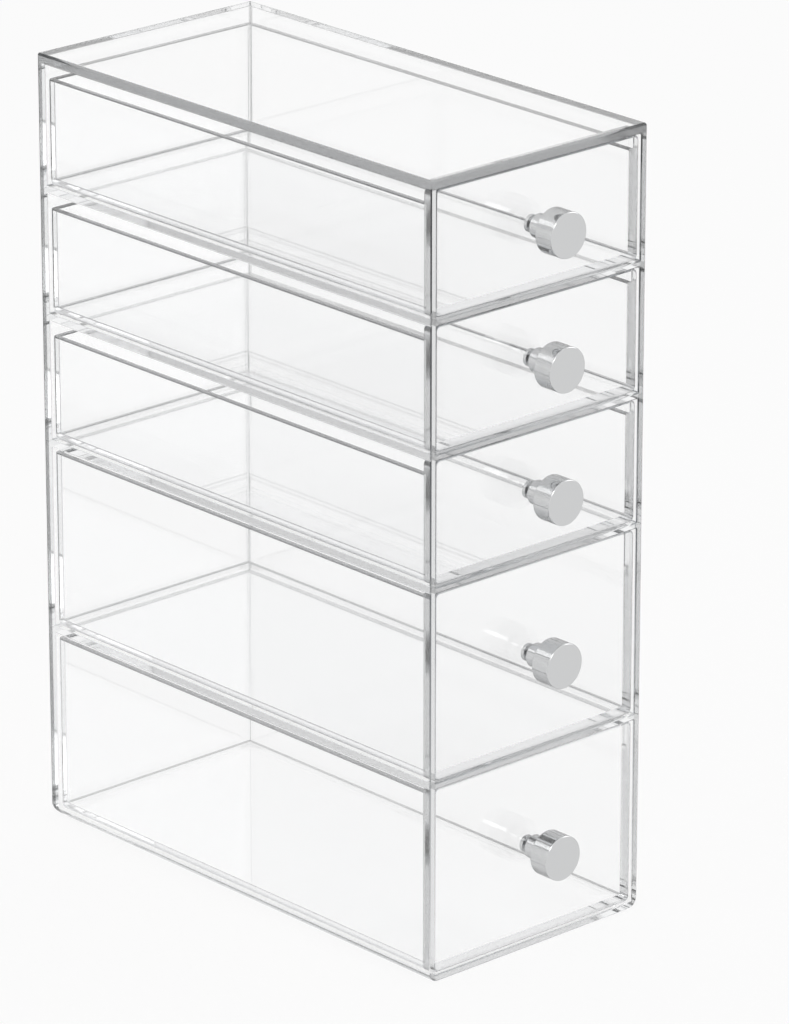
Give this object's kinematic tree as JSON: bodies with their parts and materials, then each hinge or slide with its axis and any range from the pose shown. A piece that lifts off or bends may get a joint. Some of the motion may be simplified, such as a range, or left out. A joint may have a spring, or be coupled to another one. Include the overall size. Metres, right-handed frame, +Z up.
{
  "type": "drawer organizer",
  "caption": "Clear tabletop organizer tower whose open-topped drawers slide out of the front on round metal knobs.",
  "frame": {"origin": "centre of the case's underside, on the surface it stands on", "axes": "+Z up; -Y the way the drawers open; +X to the right as the fronts are faced"},
  "size_m": [0.0864, 0.19, 0.2515],
  "materials": {
    "case_acrylic": "clear polished",
    "drawer_acrylic": "clear polished",
    "knob_chrome": "polished",
    "screw_steel": "plated"
  },
  "bodies": {
    "case": {"case_shell": "case_acrylic", "case_top": "case_acrylic", "shelf_1": "case_acrylic", "shelf_2": "case_acrylic", "shelf_3": "case_acrylic", "shelf_4": "case_acrylic"},
    "drawer_1": {"drawer_1_tray": "drawer_acrylic", "drawer_1_front": "drawer_acrylic", "drawer_1_knob": "knob_chrome", "drawer_1_screw": "screw_steel"},
    "drawer_2": {"drawer_2_tray": "drawer_acrylic", "drawer_2_front": "drawer_acrylic", "drawer_2_knob": "knob_chrome", "drawer_2_screw": "screw_steel"},
    "drawer_3": {"drawer_3_tray": "drawer_acrylic", "drawer_3_front": "drawer_acrylic", "drawer_3_knob": "knob_chrome", "drawer_3_screw": "screw_steel"},
    "drawer_4": {"drawer_4_tray": "drawer_acrylic", "drawer_4_front": "drawer_acrylic", "drawer_4_knob": "knob_chrome", "drawer_4_screw": "screw_steel"},
    "drawer_5": {"drawer_5_tray": "drawer_acrylic", "drawer_5_front": "drawer_acrylic", "drawer_5_knob": "knob_chrome", "drawer_5_screw": "screw_steel"}
  },
  "joints": [
    {"name": "drawer_1_slide", "type": "slide", "parent": "case", "child": "drawer_1", "axis": [0, -1, 0], "range_m": [0, 0.15]},
    {"name": "drawer_2_slide", "type": "slide", "parent": "case", "child": "drawer_2", "axis": [0, -1, 0], "range_m": [0, 0.15]},
    {"name": "drawer_3_slide", "type": "slide", "parent": "case", "child": "drawer_3", "axis": [0, -1, 0], "range_m": [0, 0.15]},
    {"name": "drawer_4_slide", "type": "slide", "parent": "case", "child": "drawer_4", "axis": [0, -1, 0], "range_m": [0, 0.15]},
    {"name": "drawer_5_slide", "type": "slide", "parent": "case", "child": "drawer_5", "axis": [0, -1, 0], "range_m": [0, 0.15]}
  ]
}
